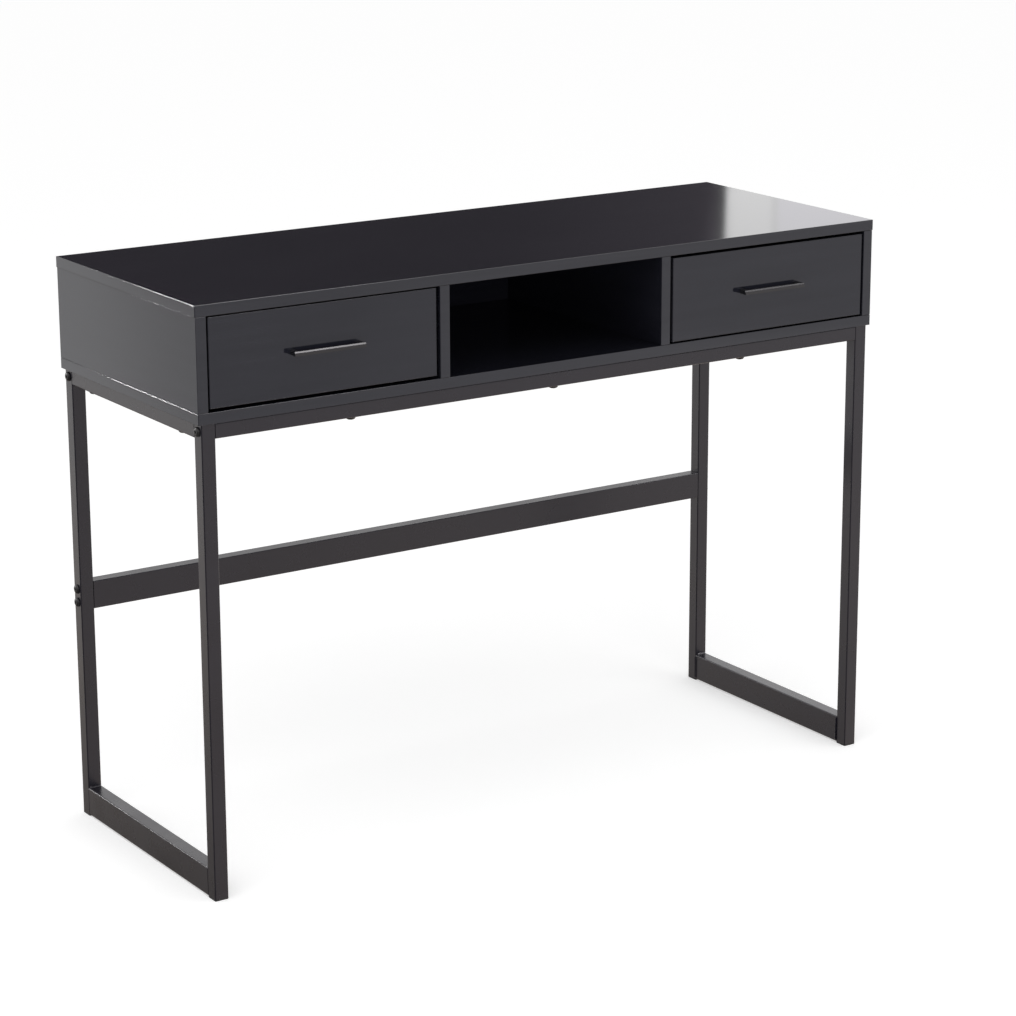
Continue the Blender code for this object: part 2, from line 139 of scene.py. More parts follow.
# Lighter and dimmer patches: elevations and their blur, azimuths and their blur, brightness
FLOOR_PATCHES = (
    ((-18.8, -17.1, 0.6), (-31.0, 5.0, 0.5), 0.28),
    ((-18.8, -17.1, 0.6), (-31.0, -26.3, 0.7), 0.24),
    ((-19.5, -14.2, 0.6), (-49.0, -34.0, 1.0), 0.12),
    ((-17.1, -12.4, 0.4), (120.0, 144.7, 2.2), 0.26),
    ((-60.0, -18.5, 1.0), (120.0, 170.0, 8.0), -0.14),
)
FLOOR_LEFT = 0.15  # the dark side of the room
FLOOR_TINT = (1.06, 0.945, 0.83)  # of the steeply seen floor
FLOOR_TINT_LEVELS = (-18.5, -13.5)
LEFT_LIMIT = -50.0  # azimuth where the floor behind ends and the dark side starts
WINDOW_LIMIT = 75.0  # azimuth where the window ends
LAMP_LEVEL = 0.5  # the ceiling lamp is above this height of the direction

# Soft lights: name, place, target, width and height, power
LIGHTS = (
    ("soft_key", (-2.2, -1.6, 3.0), (0, 0, 0.4), (2.4, 2.4), 30),
    ("soft_fill", (2.6, -2.4, 2.6), (0, 0, 0.4), (2.4, 2.4), 12),
    ("front_fill", (-0.9, -4.2, 1.05), (0, 0, 0.72), (1.6, 1.0), 36),
)


# ---------------------------------------------------------------- materials


class Nodes:
    """Short calls for building a node tree."""

    def __init__(self, tree):
        self.tree = tree

    def add(self, kind, **settings):
        node = self.tree.nodes.new(kind)
        for name, value in settings.items():
            setattr(node, name, value)
        return node

    def link(self, start, end):
        self.tree.links.new(start, end)

    def math(self, operation, first, second=None, clamp=False):
        node = self.add("ShaderNodeMath", operation=operation, use_clamp=clamp)
        for socket, value in zip(node.inputs, (first, second)):
            if isinstance(value, (int, float)):
                socket.default_value = value
            elif value is not None:
                self.link(value, socket)
        return node.outputs[0]

    def noise(self, vector, scale, detail=4.0, roughness=0.55):
        node = self.add("ShaderNodeTexNoise")
        node.inputs["Scale"].default_value = scale
        node.inputs["Detail"].default_value = detail
        node.inputs["Roughness"].default_value = roughness
        self.link(vector, node.inputs["Vector"])
        return node.outputs["Fac"]

    def stretched(self, vector, scale):
        node = self.add("ShaderNodeMapping")
        node.inputs["Scale"].default_value = scale
        self.link(vector, node.inputs["Vector"])
        return node.outputs["Vector"]

    def remap(self, value, low, high, to_low, to_high):
        node = self.add("ShaderNodeMapRange")
        for socket, number in zip(node.inputs[1:5], (low, high, to_low, to_high)):
            socket.default_value = number
        self.link(value, node.inputs["Value"])
        return node.outputs["Result"]

    def mix_colours(self, factor, first, second):
        node = self.add("ShaderNodeMix", data_type="RGBA")
        self.link(factor, node.inputs["Factor"])
        for socket, colour in zip(node.inputs[6:8], (first, second)):
            if isinstance(colour, tuple):
                socket.default_value = (*colour, 1)
            else:
                self.link(colour, socket)
        return node.outputs["Result"]

    def bump(self, height, strength, distance, normal=None):
        node = self.add("ShaderNodeBump")
        node.inputs["Strength"].default_value = strength
        node.inputs["Distance"].default_value = distance
        self.link(height, node.inputs["Height"])
        if normal is not None:
            self.link(normal, node.inputs["Normal"])
        return node.outputs["Normal"]


# Scales of the printed grain and of the pores, across and along the grain
GRAIN_ACROSS = 95.0
GRAIN_ALONG = 5.0
PORES_ACROSS = 900.0
PORES_ALONG = 26.0
LAMINATE_IOR = 1.46
LAMINATE_TINT = (0.99, 0.965, 1.0, 1)
COAT_IOR = 1.51
COAT_TINT = (1.0, 0.955, 0.985, 1)


def new_material(name):
    material = bpy.data.materials.new(name)
    material.use_nodes = True
    nodes = Nodes(material.node_tree)
    shader = material.node_tree.nodes["Principled BSDF"]
    place = nodes.add("ShaderNodeTexCoord").outputs["Object"]
    return material, nodes, shader, place


def laminate(name, grain_axis, dark, light, roughness):
    """Black melamine board: a faint printed grain and fine pores along one axis, and soft smudges."""
    material, nodes, shader, place = new_material(name)
    grain_scale = [GRAIN_ACROSS] * 3
    grain_scale["XYZ".index(grain_axis)] = GRAIN_ALONG
    streaks = nodes.noise(nodes.stretched(place, grain_scale), 1.0, 5.0, 0.6)
    pore_scale = [PORES_ACROSS] * 3
    pore_scale["XYZ".index(grain_axis)] = PORES_ALONG
    pores = nodes.noise(nodes.stretched(place, pore_scale), 1.0, 2.0, 0.5)
    cloud = nodes.noise(place, 6.0, 3.0, 0.5)
    tone = nodes.math("ADD", nodes.math("MULTIPLY", streaks, 0.75), nodes.math("MULTIPLY", cloud, 0.25))
    tone = nodes.remap(tone, 0.35, 0.65, 0.0, 1.0)
    nodes.link(nodes.mix_colours(tone, dark, light), shader.inputs["Base Color"])
    sheen = nodes.math("ADD", nodes.math("MULTIPLY", cloud, 0.5), nodes.math("MULTIPLY", pores, 0.5))
    low, high = roughness
    nodes.link(nodes.remap(sheen, 0.3, 0.7, low, high), shader.inputs["Roughness"])
    pits = nodes.remap(pores, 0.30, 0.45, 0.0, 0.6)
    height = nodes.math("ADD", nodes.math("MULTIPLY", streaks, 0.4), pits)
    nodes.link(nodes.bump(height, 0.02, 0.0001), shader.inputs["Normal"])
    shader.inputs["IOR"].default_value = LAMINATE_IOR
    shader.inputs["Specular Tint"].default_value = LAMINATE_TINT
    return material


def powder_coat(name, dark, light, roughness, grain, bump):
    """Sprayed and baked coat on steel: fine orange peel, and a slightly cloudy gloss."""
    material, nodes, shader, place = new_material(name)
    peel = nodes.noise(place, grain, 2.0, 0.5)
    cloud = nodes.noise(place, 14.0, 4.0, 0.55)
    tone = nodes.remap(cloud, 0.35, 0.65, 0.0, 1.0)
    nodes.link(nodes.mix_colours(tone, dark, light), shader.inputs["Base Color"])
    low, high = roughness
    nodes.link(nodes.remap(cloud, 0.3, 0.7, low, high), shader.inputs["Roughness"])
    nodes.link(nodes.bump(peel, bump, 0.0002), shader.inputs["Normal"])
    shader.inputs["IOR"].default_value = COAT_IOR
    shader.inputs["Specular Tint"].default_value = COAT_TINT
    return material


def moulded_plastic(name, dark, light):
    """Matt plastic with a fine moulded grain."""
    material, nodes, shader, place = new_material(name)
    grain = nodes.noise(place, 1800.0, 2.0, 0.5)
    nodes.link(nodes.mix_colours(grain, dark, light), shader.inputs["Base Color"])
    nodes.link(nodes.remap(grain, 0.3, 0.7, 0.45, 0.6), shader.inputs["Roughness"])
    nodes.link(nodes.bump(grain, 0.15, 0.0001), shader.inputs["Normal"])
    return material


def zinc_plate(name, dark, light, roughness):
    """Bright zinc on rolled sheet: faint drawing lines along Y and cloudy patches."""
    material, nodes, shader, place = new_material(name)
    lines = nodes.noise(nodes.stretched(place, (1500.0, 12.0, 1500.0)), 1.0, 2.0, 0.5)
    cloud = nodes.noise(place, 60.0, 4.0, 0.6)
    tone = nodes.remap(cloud, 0.3, 0.7, 0.0, 1.0)
    nodes.link(nodes.mix_colours(tone, dark, light), shader.inputs["Base Color"])
    low, high = roughness
    nodes.link(nodes.remap(cloud, 0.3, 0.7, low, high), shader.inputs["Roughness"])
    nodes.link(nodes.bump(lines, 0.10, 0.0001), shader.inputs["Normal"])
    shader.inputs["Metallic"].default_value = 1.0
    return material


BOARD_DARK = (0.0080, 0.0082, 0.0122)
BOARD_LIGHT = (0.0112, 0.0114, 0.0160)
BAND_DARK = (0.0140, 0.0142, 0.0182)  # edge band is a little paler than the board; part of that paleness is a painted highlight, for the light that the edges catch
BAND_LIGHT = (0.0172, 0.0174, 0.0220)
STEEL_DARK = (0.0088, 0.0082, 0.0126)
STEEL_LIGHT = (0.0116, 0.0108, 0.0158)
PULL_DARK = (0.0090, 0.0090, 0.0105)
PULL_LIGHT = (0.0120, 0.0120, 0.0135)
OXIDE_DARK = (0.006, 0.006, 0.006)
OXIDE_LIGHT = (0.012, 0.012, 0.012)
PLASTIC_DARK = (0.012, 0.012, 0.012)
PLASTIC_LIGHT = (0.020, 0.020, 0.020)
GLOSS = (0.045, 0.060)  # ranges of roughness
BOX_GLOSS = (0.34, 0.44)
STEEL_GLOSS = (0.24, 0.32)
PULL_GLOSS = (0.20, 0.26)
OXIDE_GLOSS = (0.36, 0.46)

LAMINATE = {
    "X": laminate("black_laminate_x", "X", BOARD_DARK, BOARD_LIGHT, GLOSS),
    "Y": laminate("black_laminate_y", "Y", BOARD_DARK, BOARD_LIGHT, GLOSS),
    "Z": laminate("black_laminate_z", "Z", BOARD_DARK, BOARD_LIGHT, GLOSS),
}
# the bands' paler colour is partly a painted highlight: it brightens the board edges where they catch light
edge_band = laminate("black_edge_band", "X", BAND_DARK, BAND_LIGHT, GLOSS)
box_board = laminate("drawer_box_laminate", "Y", BOARD_DARK, BOARD_LIGHT, BOX_GLOSS)
box_board_x = laminate("drawer_box_laminate_x", "X", BOARD_DARK, BOARD_LIGHT, BOX_GLOSS)
steel = powder_coat("black_powder_coat", STEEL_DARK, STEEL_LIGHT, STEEL_GLOSS, 700.0, 0.05)
pull_coat = powder_coat("black_pull_coat", PULL_DARK, PULL_LIGHT, PULL_GLOSS, 1400.0, 0.10)
bolt_black = powder_coat("black_bolt_oxide", OXIDE_DARK, OXIDE_LIGHT, OXIDE_GLOSS, 1800.0, 0.10)
plastic = moulded_plastic("black_foot_plastic", PLASTIC_DARK, PLASTIC_LIGHT)
zinc = zinc_plate("zinc_plate", (0.50, 0.50, 0.49), (0.66, 0.66, 0.64), (0.24, 0.38))
ball_steel = zinc_plate("ball_steel", (0.60, 0.60, 0.60), (0.70, 0.70, 0.70), (0.12, 0.20))


# ---------------------------------------------------------------- mesh tools


def new_piece(name, bm, material, body, nodes=(), smooth=35):
    """Turns a bmesh in the CAD's frame into a piece that rides on a body and stands for CAD nodes."""
    bmesh.ops.recalc_face_normals(bm, faces=bm.faces)
    mesh = bpy.data.meshes.new(name)
    bm.to_mesh(mesh)
    bm.free()
    mesh.materials.append(material)
    mesh.shade_smooth()
    mesh.set_sharp_from_angle(angle=math.radians(smooth))
    piece = bpy.data.objects.new(name, mesh)
    bpy.context.scene.collection.objects.link(piece)
    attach(piece, body)
    if nodes:
        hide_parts(*nodes)
    return piece


def even_shading(piece):
    """Gives flat faces their own normal, so that only the rounded edges shade round."""
    weighted = piece.modifiers.new("even_shading", "WEIGHTED_NORMAL")
    weighted.keep_sharp = True


def soften(piece, width, segments=3, by_weight=False):
    """Rounds the sharp edges, or those that carry a bevel weight."""
    bevel = piece.modifiers.new("soft_edges", "BEVEL")
    bevel.width = width
    bevel.segments = segments
    bevel.limit_method = "WEIGHT" if by_weight else "ANGLE"
    bevel.angle_limit = math.radians(40)
    bevel.use_clamp_overlap = True
    for polygon in piece.data.polygons:
        polygon.use_smooth = True
    sharp = piece.data.attributes.get("sharp_edge")
    if sharp is not None:
        piece.data.attributes.remove(sharp)
    even_shading(piece)


def box_bmesh(low, high):
    bm = bmesh.new()
    bmesh.ops.create_cube(bm, size=1.0)
    size = Vector(high) - Vector(low)
    bmesh.ops.scale(bm, vec=size, verts=bm.verts)
    bmesh.ops.translate(bm, vec=(Vector(high) + Vector(low)) / 2, verts=bm.verts)
    return bm


def lofted_bmesh(rings, ends=True, loop=False):
    """A skin through rings of points with the same count. A loop joins the last ring to the first."""
    bm = bmesh.new()
    loops = [[bm.verts.new(point) for point in ring] for ring in rings]
    pairs = list(zip(loops, loops[1:]))
    if loop:
        pairs.append((loops[-1], loops[0]))
    elif ends:
        bm.faces.new(loops[0])
        bm.faces.new(loops[-1])
    for lower, upper in pairs:
        for i in range(len(lower)):
            bm.faces.new((lower[i - 1], lower[i], upper[i], upper[i - 1]))
    return bm


def join_bmeshes(parts):
    joined = bmesh.new()
    for part in parts:
        bmesh.ops.recalc_face_normals(part, faces=part.faces)
        mesh = bpy.data.meshes.new("part")
        part.to_mesh(mesh)
        part.free()
        joined.from_mesh(mesh)
        bpy.data.meshes.remove(mesh)
    return joined


# ---------------------------------------------------------------- boards


def banded_board(node, material_axis, bands, body="desk", material=None):
    """A board with glued edge bands. A band is (axis, sign), the side of the board that it covers."""
    low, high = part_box(node)
    material = material or LAMINATE[material_axis]
    core_low = low.copy()
    core_high = high.copy()
    for axis, sign in bands:
        if sign < 0:
            core_low[axis] += BAND
        else:
            core_high[axis] -= BAND
    core = new_piece(f"{node}_core", box_bmesh(core_low, core_high), material, body, [node])
    soften(core, SEAM, 1)
    for axis, sign in bands:
        strip_low = low.copy()
        strip_high = high.copy()
        for other, other_sign in bands:
            if other > axis:  # the band on the lower axis runs past the other one
                continue
            if other != axis:
                if other_sign < 0:
                    strip_low[other] += BAND
                else:
                    strip_high[other] -= BAND
        if sign < 0:
            strip_high[axis] = low[axis] + BAND
        else:
            strip_low[axis] = high[axis] - BAND
        side = "left right front back bottom top".split()[2 * axis + (sign > 0)]
        bm = box_bmesh(strip_low, strip_high)
        weights = bm.edges.layers.float.new("bevel_weight_edge")
        outer = (low if sign < 0 else high)[axis]
        for edge in bm.edges:
            at_face = all(abs(vert.co[axis] - outer) < SAME for vert in edge.verts)
            edge[weights] = 1.0 if at_face else SEAM / BAND_RADIUS
        strip = new_piece(f"{node}_{side}_band", bm, edge_band, body)
        soften(strip, BAND_RADIUS, 4, by_weight=True)
    return core


def build_case():
    """The boards of the case. Hidden edges are bare."""
    banded_board("top_panel", "X", [(0, -1), (0, 1), (1, -1), (1, 1)])
    banded_board("bottom_panel", "X", [(0, -1), (0, 1), (1, -1), (1, 1)])
    for side, _ in SIDES:
        banded_board(f"{side}_side_panel", "Y", [(1, -1), (1, 1)])
        banded_board(f"{side}_divider", "Y", [(1, -1)])
    banded_board("back_panel", "X", [])


# ---------------------------------------------------------------- steel frame


def rounded_section(width, height, radius, steps):
    """Outline of a rectangle with rounded corners, about its middle."""
    points = []
    for quarter, (sx, sy) in enumerate(((1, 1), (-1, 1), (-1, -1), (1, -1))):
        centre = Vector((sx * (width / 2 - radius), sy * (height / 2 - radius)))
        for step in range(steps + 1):
            angle = math.radians(90 * (quarter + step / steps))
            points.append(centre + radius * Vector((math.cos(angle), math.sin(angle))))
    return points


def steel_tube(node, axis, material):
    """An open rectangular tube with rounded corners, in the place of a CAD tube."""
    low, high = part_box(node)
    a, b = [i for i in range(3) if i != axis]
    centre = (low + high) / 2
    size = high - low
    outer = rounded_section(size[a], size[b], TUBE_CORNER, 6)
    inner_radius = TUBE_CORNER - TUBE_WALL
    inner = rounded_section(size[a] - 2 * TUBE_WALL, size[b] - 2 * TUBE_WALL, inner_radius, 6)
    start, end = low[axis], high[axis]
    rings = []
    for outline, place in ((outer, start), (outer, end), (inner, end), (inner, start)):
        ring = []
        for point in outline:
            corner = centre.copy()
            corner[a] += point.x
            corner[b] += point.y
            corner[axis] = place
            ring.append(corner)
        rings.append(ring)
    piece = new_piece(f"{node}_tube", lofted_bmesh(rings, loop=True), material, "desk", [node])
    even_shading(piece)
    return piece


def build_frame():
    """Legs, rails and stretcher."""
    for side, _ in SIDES:
        for end, _ in ENDS:
            steel_tube(f"{side}_{end}_leg", 2, steel)
        steel_tube(f"{side}_floor_rail", 1, steel)
        steel_tube(f"{side}_top_rail", 1, steel)
    steel_tube("front_top_rail", 0, steel)
    steel_tube("back_top_rail", 0, steel)
    steel_tube("back_stretcher", 0, steel)


# ---------------------------------------------------------------- fasteners and caps


def turned_outline(profile, count, to_place):
    """Rings of a turned shape. Each profile row is (kind, size, height); a hex row has flats."""
    rings = []
    for kind, size, height in profile:
        ring = []
        for i in range(count):
            angle = 2 * math.pi * i / count
            reach = size
            if kind == "hex":
                reach = size / 2 / math.cos(angle % (math.pi / 3) - math.pi / 6)
            ring.append(to_place @ Vector((reach * math.cos(angle), reach * math.sin(angle), height)))
        rings.append(ring)
    return rings


def socket_screw(name, head_end, direction, head, shank, socket, nodes=(), body="desk", material=None):
    """A button-head socket screw. Its shank points along the direction, from the underside of the head."""
    radius, height = head
    shank_radius, shank_length = shank
    profile = [
        ("round", shank_radius * 0.55, shank_length),
        ("round", shank_radius, shank_length - 0.0015),
        ("round", shank_radius, 0.0004),
        ("round", radius - 0.0002, 0.0),
        ("round", radius, -0.0002),
        ("round", radius, -0.22 * height),
    ]
    for step in range(1, 7):
        turn = math.radians(90 * step / 6)
        reach = socket * 0.68 + (radius - socket * 0.68) * math.cos(turn)
        profile.append(("round", reach, -height * (0.22 + 0.78 * math.sin(turn))))
    profile.append(("hex", socket * 1.06, -height))
    profile.append(("hex", socket, -height * 0.93))
    profile.append(("hex", socket, -height * 0.35))
    profile.append(("round", 0.0003, -height * 0.25))
    turn = Vector(direction).to_track_quat("Z", "Y").to_matrix().to_4x4()
    rings = turned_outline(profile, 48, Matrix.Translation(head_end) @ turn)
    material = material or bolt_black
    return new_piece(name, lofted_bmesh(rings), material, body, nodes, smooth=30)


def node_screw(node, axis, sign, head_height, head_radius, shank, socket):
    """A finer copy of a CAD bolt or screw; the head is at the end of its box that the sign points to."""
    low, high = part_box(node)
    head_end = (low + high) / 2
    head_end[axis] = high[axis] - head_height if sign > 0 else low[axis] + head_height
    direction = Vector((0, 0, 0))
    direction[axis] = -sign
    socket_screw(f"{node}_screw", head_end, direction, (head_radius, head_height), shank, socket, [node])


def build_fasteners():
    """Leg bolts, stretcher bolts and the screws up through the top rails."""
    for side, sign in SIDES:
        for end, _ in ENDS:
            node_screw(f"{side}_{end}_leg_bolt", 0, sign, *BOLT)
            node_screw(f"{side}_rail_screw_{end}", 2, -1, *SCREW)
        for level in ("lower", "upper"):
            node_screw(f"{side}_stretcher_bolt_{level}", 0, sign, *BOLT)
    for end, _ in ENDS:
        for number in (1, 2, 3):
            node_screw(f"{end}_rail_screw_{number}", 2, -1, *SCREW)


def build_foot_caps():
    """Moulded plugs: a soft-edged flange under the leg and a hollow stem with a lead-in up inside it."""
    for side, _ in SIDES:
        for end, _ in ENDS:
            node = f"{side}_{end}_foot_cap"
            low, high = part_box(node)
            centre = (low + high) / 2
            width = high.x - low.x
            inside = width - 2 * TUBE_WALL - CAP_PLAY
            hollow = inside - 2 * CAP_WALL
            rows = [
                (width - 0.0060, 0.0008),
                (width - 0.0052, 0.0001),
                (width - 0.0040, 0.0),
                (width - 0.0016, 0.0),
                (width - 0.0006, 0.0002),
                (width, 0.0008),
                (width, CAP_FLANGE - 0.0002),
                (width - 0.0004, CAP_FLANGE),
                (inside, CAP_FLANGE),
                (inside, high.z - 0.0020),
                (inside - 0.0014, high.z),
                (hollow, high.z),
                (hollow, CAP_FLANGE + 0.0010),
            ]
            rings = []
            for size, height in rows:
                section = rounded_section(size, size, 0.0012 if size < inside else TUBE_CORNER, 6)
                rings.append([Vector((centre.x + p.x, centre.y + p.y, height)) for p in section])
            new_piece(f"{node}_plug", lofted_bmesh(rings), plastic, "desk", [node])


# ---------------------------------------------------------------- welds


def weld_bead(start, end, first_side, second_side):
    """A rippled fillet bead between two points, in the corner of two faces that look along the sides."""
    start = Vector(start)
    end = Vector(end)
    first_side = Vector(first_side)
    second_side = Vector(second_side)
    length = (end - start).length
    count = max(8, round(length / WELD_RIPPLE) * 6)
    rings = []
    for i in range(count + 1):
        share = i / count
        ripple = abs(math.sin(math.pi * share * length / WELD_RIPPLE))
        taper = min(1.0, share * length / 0.0015, (1 - share) * length / 0.0015)
        leg = WELD_LEG * (0.35 + 0.65 * taper) * (0.90 + 0.10 * ripple)
        place = start.lerp(end, share)
        ring = [place - 0.0004 * (first_side + second_side)]
        for step in range(5):
            turn = math.radians(90 * step / 4)
            bulge = leg * (0.80 + 0.20 * abs(math.cos(2 * turn)))
            ring.append(place + bulge * (math.cos(turn) * first_side + math.sin(turn) * second_side))
        rings.append(ring)
    return lofted_bmesh(rings)


def build_welds():
    """Fillet beads in the inner corners of side rails and legs; the outer faces are ground flush."""
    for side, sign in SIDES:
        for rail, above in ((f"{side}_floor_rail", True), (f"{side}_top_rail", False)):
            low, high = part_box(rail)
            inset = TUBE_CORNER
            beads = []
            for end, end_sign in ENDS:
                y = low.y if end_sign < 0 else high.y
                into = Vector((0, -end_sign, 0))
                z = high.z if above else low.z
                normal = Vector((0, 0, 1 if above else -1))
                beads.append(weld_bead((low.x + inset, y, z), (high.x - inset, y, z), into, normal))
                x = low.x if sign > 0 else high.x
                inward = Vector((-sign, 0, 0))
                beads.append(weld_bead((x, y, low.z + inset), (x, y, high.z - inset), into, inward))
            new_piece(f"{rail}_welds", join_bmeshes(beads), steel, "desk", smooth=60)


# ---------------------------------------------------------------- slides


def fillet_path(points, radius, steps=5):
    """Replaces each inner corner of a path of right angles by an arc."""
    path = [points[0]]
    for before, corner, after in zip(points, points[1:], points[2:]):
        back = (before - corner).normalized() * radius
        ahead = (after - corner).normalized() * radius
        centre = corner + back + ahead
        for step in range(steps + 1):
            turn = math.radians(90 * step / steps)
            path.append(centre - ahead * math.cos(turn) - back * math.sin(turn))
    path.append(points[-1])
    return path


def sheet_outline(path, thickness):
    """Closed outline of a sheet of even thickness that follows a path."""
    left = []
    right = []
    for i, point in enumerate(path):
        ahead = path[min(i + 1, len(path) - 1)] - path[max(i - 1, 0)]
        side = Vector((-ahead.y, ahead.x)).normalized() * thickness / 2
        left.append(point + side)
        right.append(point - side)
    return left + right[::-1]


def rolled_channel(depth, height, sheet, lip):
    """Outline in X and Z of a rolled C-channel that opens to +X, with its web on x = 0."""
    middle = sheet / 2
    top = height / 2 - middle
    path = [
        Vector((depth - middle, top - lip)),
        Vector((depth - middle, top)),
        Vector((middle, top)),
        Vector((middle, -top)),
        Vector((depth - middle, -top)),
        Vector((depth - middle, -top + lip)),
    ]
    return sheet_outline(fillet_path(path, SLIDE_BEND), sheet)


def slide_member(node, opens, body, lip):
    """The rolled sheet of one slide member, in the place of its CAD channel."""
    low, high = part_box(node)
    depth = high.x - low.x
    middle_z = (low.z + high.z) / 2
    web = low.x if opens > 0 else high.x
    outline = rolled_channel(depth, high.z - low.z, SLIDE_SHEET, lip)
    rings = []
    for y in (low.y, high.y):
        rings.append([Vector((web + opens * p.x, y, middle_z + p.y)) for p in outline])
    new_piece(f"{node}_member", lofted_bmesh(rings), zinc, body, [node], smooth=30)


def build_slides(bay):
    """Both slides of a bay. The balls, their cage and the screws stay with the rail."""
    for side, sign in SIDES:
        rail = f"{bay}_bay_{side}_slide_rail"
        drawer_rail = f"{bay}_drawer_{side}_slide"
        slide_member(rail, -sign, "desk", SLIDE_LIPS[0])
        slide_member(drawer_rail, sign, f"{bay}_drawer", SLIDE_LIPS[1])
        low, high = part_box(rail)
        inner_low, inner_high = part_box(drawer_rail)
        middle_z = (low.z + high.z) / 2
        web = low.x + SLIDE_SHEET if sign < 0 else high.x - SLIDE_SHEET
        for number, share in enumerate(SLIDE_SCREWS, 1):
            place = Vector((web - sign * 0.0002, low.y + share * (high.y - low.y), middle_z))
            flat_screw(f"{rail}_screw_{number}", place, (-sign, 0, 0))
        ball_radius = ((high.z - SLIDE_SHEET) - inner_high.z) / 2 - 0.0001
        ball_z = (high.z - SLIDE_SHEET + inner_high.z) / 2 - middle_z
        ball_x = (inner_low.x + inner_high.x) / 2 - sign * 0.0002
        start = low.y + CAGE_START
        build_cage(f"{rail}_ball_cage", ball_x, start, middle_z, ball_z, ball_radius)
        balls = bmesh.new()
        for i in range(CAGE_BALLS):
            y = start + CAGE_MARGIN + i * CAGE_PITCH
            for z in (-ball_z, ball_z):
                place = Matrix.Translation((ball_x, y, middle_z + z))
                bmesh.ops.create_icosphere(balls, subdivisions=2, radius=ball_radius, matrix=place)
        new_piece(f"{rail}_balls", balls, ball_steel, "desk", smooth=60)


def build_cage(name, x, start, middle_z, ball_z, ball_radius):
    """The sheet strip on each side of the balls that keeps them apart."""
    length = 2 * CAGE_MARGIN + (CAGE_BALLS - 1) * CAGE_PITCH
    thick, tall = CAGE_STRIP
    parts = []
    for z in (-ball_z, ball_z):
        for offset in (-0.55 * ball_radius, 0.55 * ball_radius):
            low = (x + offset - thick / 2, start, middle_z + z - tall / 2)
            high = (x + offset + thick / 2, start + length, middle_z + z + tall / 2)
            parts.append(box_bmesh(low, high))
    new_piece(name, join_bmeshes(parts), zinc, "desk")


def flat_screw(name, place, direction):
    """A low pan head with a round recess, lying on a slide's web."""
    radius, height = SLIDE_SCREW_HEAD
    profile = [("round", radius, -0.0002), ("round", radius, 0.0004)]
    for step in range(1, 6):
        turn = math.radians(90 * step / 5)
        reach = 0.0012 + (radius - 0.0012) * math.cos(turn)
        profile.append(("round", reach, 0.0004 + (height - 0.0004) * math.sin(turn)))
    profile.append(("round", 0.0011, height - 0.0003))
    profile.append(("round", 0.0003, height - 0.0007))
    turn = Vector(direction).to_track_quat("Z", "Y").to_matrix().to_4x4()
    rings = turned_outline(profile, 32, Matrix.Translation(place) @ turn)
    new_piece(name, lofted_bmesh(rings), ball_steel, "desk", smooth=30)


# ---------------------------------------------------------------- drawers


def build_drawer(bay):
    """The boards of a drawer, its pull and its slides."""
    body = f"{bay}_drawer"
    banded_board(f"{bay}_drawer_front", "X", [(0, -1), (0, 1), (2, -1), (2, 1)], body)
    for side, sign in SIDES:
        build_drawer_side(f"{bay}_drawer_{side}_side", sign, body)
    for part in ("back", "bottom"):
        node = f"{bay}_drawer_{part}"
        grain = box_board_x if part == "back" else box_board
        piece = new_piece(f"{node}_board", box_bmesh(*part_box(node)), grain, body, [node])
        soften(piece, PANEL_ROUND, 2)
    build_pull(bay, body)
    build_slides(bay)


def build_drawer_side(node, sign, body):
    """A drawer side with rounded upper edge and the groove that holds the bottom."""
    low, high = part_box(node)
    inner = low.x if sign > 0 else high.x
    outer = high.x if sign > 0 else low.x
    bottom_low, bottom_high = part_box(f"{body}_bottom")
    groove_low = bottom_low.z - GROOVE_PLAY
    groove_high = bottom_high.z + GROOVE_PLAY
    groove = inner + sign * GROOVE_DEPTH
    outline = [
        (outer, low.z),
        (inner, low.z),
        (inner, groove_low),
        (groove, groove_low),
        (groove, groove_high),
        (inner, groove_high),
        (inner, high.z),
        (outer, high.z),
    ]
    rings = [[Vector((x, y, z)) for x, z in outline] for y in (low.y, high.y)]
    piece = new_piece(f"{node}_board", lofted_bmesh(rings), box_board, body, [node])
    soften(piece, BOX_ROUND, 3)


